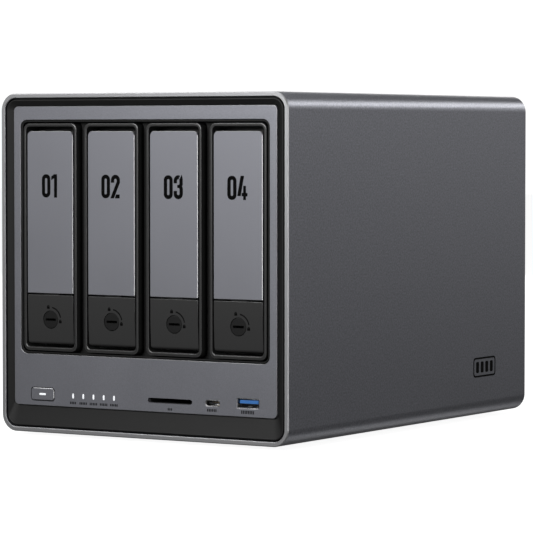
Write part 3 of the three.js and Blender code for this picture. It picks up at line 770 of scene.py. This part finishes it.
def plate_marks():
    """Plain rows of strokes under the lights and sockets, in place of printed words."""
    rows = [ticks(x, 16.4, 5 if i else 4) for i, x in enumerate(LIGHT_PLACES)]
    rows.append(ticks(CARD_SLOT["x"], 15.9, 3))
    rows.append(ticks(USB_C["x"] - 0.5, 16.6, 6, 1.4))
    rows.append(ticks(USB_A["x"] - 0.2, 16.6, 8, 1.7))
    printed("plate_marks", "case", *(stroke for row in rows for stroke in row))


# ---------- numerals ----------

DIGIT_HEIGHT = 12.2
DIGIT_WIDTHS = {0: 5.4, 1: 3.75, 2: 5.5, 3: 5.4, 4: 6.0}
DIGIT_GAP = 0.6
STROKE = 2.05
BOWL = 1.8  # the radius of a digit's curves, along the middle of the stroke


def digit(number, left, low):
    """Outlines, and (outline, hole) rings, of a condensed rounded digit with a stencil's gaps."""
    top = DIGIT_HEIGHT - STROKE / 2 - BOWL
    middle = BOWL + STROKE / 2
    flat = (1, 0)

    def put(points):
        return [(left + x, low + z) for x, z in points]

    if number == 0:
        x, z = left + 2.7, low + DIGIT_HEIGHT / 2
        ring = dict(width=5.5, height=DIGIT_HEIGHT, radius=2.6, x=x, z=z)
        return [], [(rounded(**ring), grown(ring, -STROKE))]
    if number == 1:
        stem = [(1.8, 0), (3.75, 0), (3.75, DIGIT_HEIGHT), (1.9, DIGIT_HEIGHT)]
        flag = [(0, 11), (0, 9.1), (1.8, 10.1)]
        return [put(stem + flag)], []
    if number == 2:
        hook = arc(BOWL, 180, 0, middle, top)
        sweep = [(middle - BOWL, top - 1.3)] + hook + [(middle + BOWL, 8.3), (0.75, 0)]
        foot = [(2.45, 0), (5.5, 0), (5.5, STROKE), (3.25, STROKE)]
        return [put(ribbon(sweep, STROKE, flat, flat)), put(foot)], []
    if number == 3:
        hook = [(middle - BOWL, top - 1.3)] + arc(BOWL, 180, 68, middle, top)
        upper = [(4.25, 11.35), (4.55, 10.2), (4.55, 7.7), (4.1, 6.5)]
        bowl = [(4.1, 6.5), (4.6, 5.4)] + arc(BOWL, 0, -180, middle, middle)
        bowl.append((middle - BOWL, middle + 1.4))
        return [
            put(ribbon(hook, STROKE, flat, (0.55, 1))),
            put(ribbon(upper, STROKE, (0.55, 1), flat)),
            put(ribbon(bowl, STROKE, flat, flat)),
            put(rectangle(2.2, 3.6, 5.7, 7.3)),
        ], []
    slope = ribbon([(2.95, DIGIT_HEIGHT), (0.9, 2)], STROKE, flat, flat)
    cross = [(2.5, 1.85), (3.45, 1.85), (3.45, 0), (5.1, 0), (5.1, 1.85), (6, 1.85)]
    cross += [(6, 3.6), (5.1, 3.6), (5.1, 7.2), (3.45, 7.2), (3.45, 3.6), (2.5, 3.6)]
    return [put(slope), put(cross)], []


def numeral(number, x, z, front):
    """A tray's number, with a zero in front of it."""
    step = DIGIT_WIDTHS[0] + DIGIT_GAP
    left, low = x - (step + DIGIT_WIDTHS[number]) / 2, z - DIGIT_HEIGHT / 2
    _, zero = digit(0, left, low)
    strokes, _ = digit(number, left + step, low)
    name, body = f"tray_{number}_numeral", f"tray_{number}_handle"
    printed(name, body, *strokes, front=front, rings=zero)


# ---------- trays ----------

RIM_OUTER = dict(width=34, height=119.2, radius=3.5, z=BAY_MIDDLE)
RIM_INNER = dict(width=30.8, height=115.7, radius=2.2, z=102.8)
HANDLE_WIDTH = 29.2
HANDLE_FRONT = 1.3
HANDLE_PLATE = 1.2
HANDLE_SPAN = (73.25, 158.2)
NUMERAL_HEIGHT = 129.6
LATCH_SPAN = (46.6, 72.4)
LATCH_FRONT = 1.4
LATCH_CURVE = 0.9
LATCH_EDGE = 1.6
LOCK_HEIGHT = 59.5
LOCK_RADIUS = 4.6
TRAY_HALF_WIDTH = 16.9
TRAY_LOW, TRAY_HIGH = BAY_MIDDLE - 59.1, BAY_MIDDLE + 59.1
RAIL_DEPTHS = (13.8, 174.7)


def carrier(number, x):
    """The open drive frame: a rounded rim, a vented front wall, two rails and a windowed side."""
    outer, inner = dict(RIM_OUTER, x=x), dict(RIM_INNER, x=x)
    steps = [(outer, 0, 14), (outer, 0, 1.7), (outer, -0.12, 1.35), (outer, -0.4, 1.2)]
    steps += [(inner, 0.35, 1.2), (inner, 0.1, 1.35), (inner, 0, 1.7), (inner, 0, 14)]
    sections = [at_depth(grown(shape, by), depth) for shape, by, depth in steps]
    # The rim's sloping faces get the lighter edge plastic, a painted highlight.
    rim = bright_edges(loft(sections, ring=True), 2)
    vents = [rounded(4, 64, 0.8, x + dx, 114, steps=3) for dx in (-9, 0, 9)]
    wall = slab(grown(inner, 0.5), 12, 14, holes=vents)
    left, right = x - TRAY_HALF_WIDTH, x + TRAY_HALF_WIDTH
    rails = []
    for foot, direction in ((TRAY_LOW, 1), (TRAY_HIGH, -1)):
        groove, top = foot + direction * 0.8, foot + direction * 7.9
        section = [(left, foot), (left + 3, foot), (left + 3, groove)]
        section += [(right - 3, groove), (right - 3, foot), (right, foot)]
        section += [(right, top), (left, top)]
        rails.append(slab(section, *RAIL_DEPTHS, edge=0.3))
        for depth in (52, 96, 154):
            pin = [(0, 0), (1.4, 0), (1.4, 2.4), (1, 2.7), (0, 2.7)]
            stud = moved(turned(pin, 20), x, depth, foot + direction * 6.2)
            rails.append(painted(stud, 1))
    windows = [rounded(90, 16, 2, 95, z, steps=4) for z in (74, 102, 130)]
    side_outline = rectangle(*RAIL_DEPTHS, TRAY_LOW + 7, TRAY_HIGH - 7)
    side = slab(side_outline, left, left + 1.8, holes=windows, edge=0.3, plane="side")
    obj = add(f"tray_{number}_frame", joined(rim, wall, side, *rails), TRAY_BLACK, NICKEL, EDGE_HIGHLIGHT_PLASTIC)
    book(obj, "black_plastic", f"tray_{number}_carrier", body=f"tray_{number}")


def handle(number, x):
    """The handle's metal face with its cut edge, lighter as a painted highlight, and its number, on
    the CAD's lever.
    """
    low, high = HANDLE_SPAN
    outline = rounded(HANDLE_WIDTH, high - low, 2.5, x, (low + high) / 2, bottom=0.3)
    face = slab(outline, HANDLE_FRONT, HANDLE_FRONT + HANDLE_PLATE, edge=0.22, steps=0)
    obj = add(f"tray_{number}_face", bright_edges(face), HANDLE, FACE_EDGE)
    book(obj, "front_metal", f"tray_{number}_handle_face", body=f"tray_{number}_handle")
    numeral(number, x - 0.25, NUMERAL_HEIGHT, HANDLE_FRONT)
    dress(f"tray_{number}_handle_lever", BLACK)


def latch_face(z):
    """The depth of the latch button's front, which curves back a little towards its lower edge."""
    low, high = LATCH_SPAN
    return LATCH_FRONT + LATCH_CURVE * ((high - z) / (high - low)) ** 2


def latch(number, x):
    """The dark button under the handle, with a rounded lower edge and a hole for the lock."""
    low, high = LATCH_SPAN
    outline = rounded(HANDLE_WIDTH, high - low, 0.4, x, (low + high) / 2, bottom=1.6)
    # The button's sloping edges get the lighter edge plastic, a painted highlight.
    body = bright_edges(slab(outline, LATCH_FRONT, 9, edge=0.25), 2)
    corner = low + LATCH_EDGE
    heights = [high - (high - corner) * i / 16 for i in range(17)]
    profile = [(LATCH_FRONT, high + 1)] + [(latch_face(z), z) for z in heights]
    for angle in (0.25, 0.5, 0.75, 1, 1.25, 1.5):
        back, down = LATCH_EDGE * (1 - math.cos(angle)), LATCH_EDGE * math.sin(angle)
        profile.append((latch_face(corner) + back, corner - down))
    profile += [(11, low - 0.5), (11, high + 1)]
    body = combined(body, slab(profile, x - 20, x + 20, plane="side"), "INTERSECT")
    body = cut(body, slab(circle(LOCK_RADIUS + 0.2, x, LOCK_HEIGHT), -1, 12))
    # The tongue is moulded with the button, but drawn in the darker black plastic: painted shade in
    # the gap between handle and button.
    tongue = slab(rounded(9.6, 1.6, 0.2, x, high - 0.25), 2.8, 6)
    obj = add(f"tray_{number}_button", joined(body, painted(tongue, 1)), LATCH, BLACK, EDGE_HIGHLIGHT_PLASTIC)
    book(obj, "latch_plastic", f"tray_{number}_latch_button", body=f"tray_{number}_latch")


def lock_signs(number, x):
    """The printed arc beside the lock, with a padlock at each end."""
    z = LOCK_HEIGHT
    signs = [ribbon(arc(6.5, 80, 10, x, z), 0.65)]
    for padlock_x, padlock_z in ((x - 1.4, z + 6.3), (x + 6.2, z - 1.1)):
        signs.append(rounded(1.7, 1.3, 0.2, padlock_x, padlock_z, steps=2))
        signs.append(ribbon(arc(0.5, 0, 180, padlock_x, padlock_z + 0.6, 6), 0.4))
    printed(f"tray_{number}_lock_signs", f"tray_{number}_latch", *signs, front=latch_face)


def lock(number, x):
    """The lock's slotted drum."""
    drum = slab(circle(LOCK_RADIUS, x, LOCK_HEIGHT), latch_face(LOCK_HEIGHT) + 0.1, 8.6, edge=0.2)
    slot = slab(rounded(6.6, 1.3, 0.3, x, LOCK_HEIGHT, steps=3), 0, 6)
    obj = add(f"tray_{number}_drum", cut(drum, slot), DRUM)
    book(obj, "latch_plastic", f"tray_{number}_lock", body=f"tray_{number}_lock_drum")


# ---------- back ----------

PORTS = {  # name: x, width, height
    "power_inlet": (63, 10.4, 11.6),
    "hdmi_port": (41.5, 15.2, 5.9),
    "rear_usb_port_1": (22, 13.1, 5.7),
    "rear_usb_port_2": (5, 13.1, 5.7),
    "rear_usb_port_3": (-12, 13.1, 5.7),
    "lan_port_1": (-34, 15.9, 13.5),
    "lan_port_2": (-57, 15.9, 13.5),
}
PORT_FOOT = 12.9
PORT_FACE = PANEL_BACK - 0.1  # the depth of the rear sockets' mouths
PORT_HOLLOW = 9
RESET = (53.3, 16.9)


def port_shape(name, radius):
    x, width, height = PORTS[name]
    return dict(x=x, z=PORT_FOOT + height / 2, width=width, height=height, radius=radius)


def cross_slot(reach, half_width, near, far):
    """Two cutters for the cross of a screw's head, which point along Z."""
    return [
        block((-reach, reach), (-half_width, half_width), (near, far)),
        block((-half_width, half_width), (-reach, reach), (near, far)),
    ]


def rear_panel():
    """The steel plate at the back, with openings for the fan and the sockets, and four screws."""
    size = CASE - 2 * CASE_WALL - 0.6
    holes = [grown(port_shape(name, 0.2), 0.3, steps=2) for name in PORTS]
    holes += [circle(66, 0, FAN_MIDDLE, 96), circle(1.5, *RESET, 20)]
    outline = rounded(size, size, 5.9, z=CASE_MIDDLE)
    panel = slab(outline, PANEL_FRONT, PANEL_BACK, holes=holes, edge=0.3)
    head = [(0, 0), (2.6, 0), (2.6, 0.5), (2, 1), (0, 1.1)]
    screws = []
    for x in (-79, 79):
        for z in (8, 170):
            screw = spun(cut(turned(head, 28), *cross_slot(1.5, 0.3, 0.5, 2)), -90, "X")
            screws.append(painted(moved(screw, x, PANEL_BACK, z), 1))
    book(add("back_panel", joined(panel, *screws), STEEL, NICKEL), "black_steel", "rear_panel")


def dust_filter():
    """A magnetic frame with a fine woven mesh."""
    near, far = PANEL_BACK + 0.2, CASE_DEPTH - 0.2
    inner_edge = rounded(139, 127, 3, z=FAN_MIDDLE)
    border = slab(rounded(150, 138, 6, z=FAN_MIDDLE), near, far, holes=[inner_edge], edge=0.4)
    wires = []
    half_width, half_height, pitch, wire = 69.6, 63.6, 2.65, 0.42
    middle = (near + far) / 2
    for i in range(-26, 27):
        x = i * pitch
        column = rectangle(x - wire, x + wire, FAN_MIDDLE - half_height, FAN_MIDDLE + half_height)
        wires.append(slab(column, middle, middle + 0.3))
    for i in range(-23, 24):
        z = FAN_MIDDLE + i * pitch
        row = rectangle(-half_width, half_width, z - wire, z + wire)
        wires.append(slab(row, middle - 0.3, middle))
    ribs = [
        slab(rounded(139.5, 2.4, 0.6, 0, FAN_MIDDLE + dz, steps=2), near + 0.1, far - 0.1, edge=0.2)
        for dz in (-32, 0, 32)
    ]
    obj = add("filter_mesh", joined(border, *ribs, *wires), BLACK)
    book(obj, "black_steel", "dust_filter", body="filter")


def fan_frame():
    """A square fan housing with a round duct, and a motor mount on four bars."""
    screw = 62.5
    corners = [(x, FAN_MIDDLE + z) for x in (-screw, screw) for z in (-screw, screw)]
    duct = circle(FAN_DUCT, 0, FAN_MIDDLE, 96)
    holes = [duct] + [circle(2.2, *corner, 20) for corner in corners]
    outline = rounded(FAN_SIZE, FAN_SIZE, 5, z=FAN_MIDDLE)
    parts = []
    for near, far in ((0, 4), (21, 25)):
        parts.append(slab(outline, FAN_FRONT + near, FAN_FRONT + far, holes=holes, edge=0.4))
    wall = circle(FAN_DUCT + 1, 0, FAN_MIDDLE, 96)
    parts.append(slab(wall, FAN_FRONT + 3.5, FAN_FRONT + 21.5, holes=[duct]))
    hub = [(0, 20.6), (20.4, 20.6), (21, 21.2), (21, 23.9), (20.4, 24.5), (0, 24.5)]
    parts.append(moved(turned(hub, 64, "Y"), depth=FAN_FRONT, z=FAN_MIDDLE))
    for i in range(4):
        bar = spun(slab(rectangle(20, 69, -2, 2), 21, 24, edge=0.6), 45 + 90 * i, "Y")
        parts.append(moved(bar, depth=FAN_FRONT, z=FAN_MIDDLE))
    book(add("fan_housing", joined(*parts), BLACK, smooth=40), "black_plastic", "fan_frame")


def fan_rotor():
    """A round hub with seven swept, twisted blades."""
    hub = [(0, 1.5), (17, 1.5), (19.4, 2.6), (20, 5), (20, 19.4), (18.5, 19.4), (0, 19.4)]
    parts = [turned(hub, 64, "Y")]
    root, tip = 19, FAN_DUCT - 2.5
    spans, blades, chord_steps = 8, 7, 7
    for b in range(blades):
        sections = []
        for i in range(spans):
            share = i / (spans - 1)
            radius = root + share * (tip - root)
            pitch = math.radians(48 - 20 * share)
            half_chord = 8 + 7 * share
            lean = math.radians(-14 * share**1.5)
            upper, lower = [], []
            for j in range(chord_steps):
                t = -1 + 2 * j / (chord_steps - 1)
                thick = 0.35 + 0.75 * (1 - t * t)
                camber = 1.6 * (1 - t * t)
                for side, row in ((1, upper), (-1, lower)):
                    along, across = t * half_chord, camber + side * thick
                    swing = lean + (along * math.cos(pitch) - across * math.sin(pitch)) / radius
                    depth = 10.5 + along * math.sin(pitch) + across * math.cos(pitch) - 1
                    row.append((radius * math.sin(swing), depth, radius * math.cos(swing)))
            sections.append(upper + lower[::-1])
        parts.append(spun(loft(sections), 360 * b / blades, "Y"))
    mesh = moved(joined(*parts), depth=FAN_FRONT, z=FAN_MIDDLE)
    obj = add("fan_wheel_look", mesh, TRAY_BLACK, smooth=50)
    book(obj, "black_plastic", "fan_rotor", body="fan_wheel")


def network_socket(name):
    """A metal shell with a stepped opening, a black jack with eight contacts, and two lights."""
    shape = port_shape(name, 0.3)
    x, z = shape["x"], shape["z"]
    right = [(2, -5.6), (2, -4.6), (2.9, -4.6), (2.9, -3.6), (5.85, -3.6), (5.85, 4.4)]
    key = [(x + dx, z + dz) for dx, dz in right] + [(x - dx, z + dz) for dx, dz in right[::-1]]
    base, floor = 234, 243
    parts = [
        slab(grown(shape, 0), PORT_FACE - 0.5, PORT_FACE, holes=[key], edge=0.12),
        slab(grown(shape, 0), base, floor + 0.1),
        painted(slab(grown(shape, -0.02), floor, PORT_FACE - 0.4, holes=[key]), 3),
        painted(slab(grown(shape, -0.02), floor, floor + 0.3), 3),
    ]
    for i in range(8):
        middle = x + 1.02 * (i - 3.5)
        contact = block((middle - 0.2, middle + 0.2), (floor, 252), (z + 3.2, z + 3.7))
        parts.append(painted(contact, 1))
    for side in (-1, 1):
        lens = rounded(2.6, 1.2, 0.2, x + side * 5.9, z + 5.6)
        parts.append(painted(slab(lens, PORT_FACE - 1, PORT_FACE + 0.1, edge=0.1), 2))
    book(add(f"{name}_look", joined(*parts), NICKEL, GOLD, LIGHT_OFF, CHIP), "nickel_steel", name)


def rear_sockets():
    for i in (1, 2, 3):
        name = f"rear_usb_port_{i}"
        shape = port_shape(name, 0.4)
        body = shell(shape, PORT_FACE, 241, 0.4, -PORT_HOLLOW)
        x, z = shape["x"], shape["z"] + 0.95
        blade = painted(slab(rounded(11.2, 1.9, 0.25, x, z), 246, 254, edge=0.1), 1)
        book(add(f"{name}_look", joined(body, blade), NICKEL, BLUE), "nickel_steel", name)
    shape = port_shape("hdmi_port", 1.4)
    body = shell(shape, PORT_FACE, 243.4, 0.4, -PORT_HOLLOW)
    blade = slab(rounded(10.6, 1.1, 0.2, shape["x"], shape["z"]), 246, 254.2)
    obj = add("hdmi_look", joined(body, painted(blade, 1)), NICKEL, CHIP)
    book(obj, "nickel_steel", "hdmi_port")
    for i in (1, 2):
        network_socket(f"lan_port_{i}")
    shape = port_shape("power_inlet", 0.5)
    x, z = shape["x"], shape["z"] + 0.6
    tube = slab(grown(shape, 0), 244, PORT_FACE, holes=[circle(3.3, x, z, 40)], edge=0.25)
    base = slab(grown(shape, 0), 236, 244.1)
    pin = painted(slab(circle(1.1, x, z, 24), 243, 253.9, edge=0.3), 1)
    obj = add("inlet_look", joined(tube, base, pin), BLACK, NICKEL)
    book(obj, "black_plastic", "power_inlet")
    knob = slab(circle(1.1, *RESET, 24), 245, PANEL_BACK - 0.8, edge=0.2)
    book(add("reset_look", knob, BLACK), "black_plastic", "reset_button", body="reset_key")


# ---------- inside ----------


def board_parts():
    """Chips, capacitors and small parts on the main board, clear of the heat sink."""
    top = 12.6
    sink_half_width, sink_near, sink_far = 36, 84, 156
    chips = [  # x, depth, width, length, height
        (-52, 92, 14, 14, 1.4),
        (-52, 125, 20, 20, 1.6),
        (50, 92, 12, 18, 1.2),
        (48, 130, 16, 16, 1.5),
        (-30, 175, 22, 22, 1.8),
        (30, 180, 12, 12, 1.4),
        (0, 205, 30, 12, 2.2),
        (-55, 205, 16, 16, 8),
    ]
    parts = []
    for x, depth, width, length, height in chips:
        outline = rounded(width, length, 0.4, x, depth, steps=2)
        parts.append(slab(outline, top, top + height, edge=0.15, plane="top"))
    can = [(0, 0), (2.9, 0), (3, 0.4), (3, 6.6), (2.7, 7), (0, 7)]
    for i in range(9):
        x, depth = 60 - 8 * (i % 3), 168 + 9 * (i // 3)
        parts.append(painted(moved(turned(can, 24), x, depth, top), 1))
    for i in range(28):
        x, depth = random.uniform(-70, 70), random.uniform(70, 230)
        if abs(x) < sink_half_width and sink_near < depth < sink_far:
            continue
        outline = rounded(1.6, 0.8, 0.1, x, depth, steps=1)
        parts.append(slab(outline, top, top + 0.6, plane="top"))
    book(add("mainboard_parts", joined(*parts), CHIP, BARE), "circuit_board")


def inside():
    """The pieces behind the trays keep their CAD shapes."""
    for node in ("drive_cage", "chassis_base"):
        dress(node, STEEL)
    for node in ("backplane_board", "front_io_board", "mainboard"):
        dress(node, BOARD, 0.1)
    dress("heat_sink", BARE, 0.15)
    for i in range(BAYS):
        dress(f"drive_connector_{i + 1}", CHIP, 0.15)
    board_parts()


sleeve()
side_emblem()
hatch()
feet()
bezel()
face_plate()
surround()
power_key()
light_comb()
usb_c_socket()
usb_a_socket()
card_reader()
plate_marks()
for tray_number, tray_x in enumerate(TRAY_PLACES, start=1):
    carrier(tray_number, tray_x)
    handle(tray_number, tray_x)
    latch(tray_number, tray_x)
    lock_signs(tray_number, tray_x)
    lock(tray_number, tray_x)
rear_panel()
dust_filter()
fan_frame()
fan_rotor()
rear_sockets()
inside()

# ---------- floor, light and camera ----------


def pale_floor_material():
    """White, bright enough to keep shadows faint, and clear when seen from below."""
    glow = {"Emission Color": (1, 1, 1, 1), "Emission Strength": 0.93}
    surface = Surface("studio floor", Roughness=0.8, **glow)
    surface.colour(surface.spread(surface.noise(400)), grey(0.3), grey(0.32))
    side = surface.nodes.new("ShaderNodeNewGeometry").outputs["Backfacing"]
    clear = surface.nodes.new("ShaderNodeBsdfTransparent").outputs["BSDF"]
    mix = surface.nodes.new("ShaderNodeMixShader")
    surface.links.new(side, mix.inputs["Fac"])
    surface.links.new(surface.shader.outputs["BSDF"], mix.inputs[1])
    surface.links.new(clear, mix.inputs[2])
    surface.links.new(mix.outputs["Shader"], surface.nodes["Material Output"].inputs["Surface"])
    return surface.material


def studio_floor():
    """A flat square that neither lights the object nor shows in its reflections."""
    reach = 6
    mesh = bpy.data.meshes.new("studio_floor")
    corners = [(-reach, -reach, 0), (reach, -reach, 0), (reach, reach, 0), (-reach, reach, 0)]
    mesh.from_pydata(corners, [], [(0, 1, 2, 3)])
    mesh.materials.append(pale_floor_material())
    ground = placed("studio_floor", mesh)
    ground.visible_diffuse = False
    ground.visible_glossy = False
    ground.visible_shadow = False


def aim(obj, place, direction):
    """Puts a lamp or camera at its place, looking along a direction."""
    obj.location = place
    obj.rotation_mode = "QUATERNION"
    obj.rotation_quaternion = direction.to_track_quat("-Z", "Y")


def softbox(name, place, target, size, power):
    """A rectangular lamp of so many watts that looks from its place towards a target."""
    light = bpy.data.lights.new(name, "AREA")
    light.shape = "RECTANGLE"
    light.size, light.size_y = size
    light.energy = power
    aim(placed(name, light), place, Vector(target) - Vector(place))


def sky():
    """A dim light from all round, which the camera sees as white."""
    world = bpy.data.worlds.new("studio")
    world.use_nodes = True
    nodes, links = world.node_tree.nodes, world.node_tree.links
    rays = nodes.new("ShaderNodeLightPath")
    strength = nodes.new("ShaderNodeMapRange")
    strength.inputs["To Min"].default_value = 0.1
    strength.inputs["To Max"].default_value = 1.05
    links.new(rays.outputs["Is Camera Ray"], strength.inputs["Value"])
    links.new(strength.outputs["Result"], nodes["Background"].inputs["Strength"])
    nodes["Background"].inputs["Color"].default_value = (1, 1, 1, 1)
    bpy.context.scene.world = world


def studio():
    sky()
    studio_floor()
    softbox("key", (-0.13, -0.85, 0.42), (0.04, -0.13, 0.16), (0.5, 0.35), 5)
    softbox("overhead", (0, 0.1, 1), (0, 0, 0.1), (1.2, 1.2), 6.5)
    softbox("back_strip", (0.7, 1.3, 0.7), (0.08, 0, 0.17), (1.15, 0.27), 4.7)
    softbox("back_far", (1.35, 2.1, 0.45), (0.08, 0, 0.09), (1.6, 0.9), 1.9)
    softbox("low_strip", (0.25, 1, -0.6), (0.08, 0, 0.02), (0.6, 0.16), 0.28)
    softbox("side_strip", (1.1, -0.77, 0.2), (0.089, -0.12, 0.12), (0.25, 0.7), 3)
    softbox("upper_left", (-0.6, -0.2, 1), (0, -0.13, 0.1), (0.35, 0.35), 1.7)
    softbox("rear_fill", (-0.75, 1.6, 0.36), (0, 0, 0.1), (0.8, 0.65), 5)
    bpy.context.scene.view_settings.view_transform = "Standard"


CAMERA_PLACE = (0.8872, -1.4241, 0.1576)  # metres
CAMERA_YAW = 32.05
CAMERA_PITCH = -2.44
CAMERA_LENS = 206.6


def camera():
    """Low and to the right of the front, with a long lens."""
    yaw, pitch = math.radians(CAMERA_YAW), math.radians(CAMERA_PITCH)
    data = bpy.data.cameras.new("camera")
    data.sensor_width = 36
    data.lens = CAMERA_LENS
    data.clip_start, data.clip_end = 0.05, 50
    level = math.cos(pitch)
    forward = Vector((-math.sin(yaw) * level, math.cos(yaw) * level, math.sin(pitch)))
    eye = placed("camera", data)
    aim(eye, CAMERA_PLACE, forward)
    bpy.context.scene.camera = eye


studio()
camera()
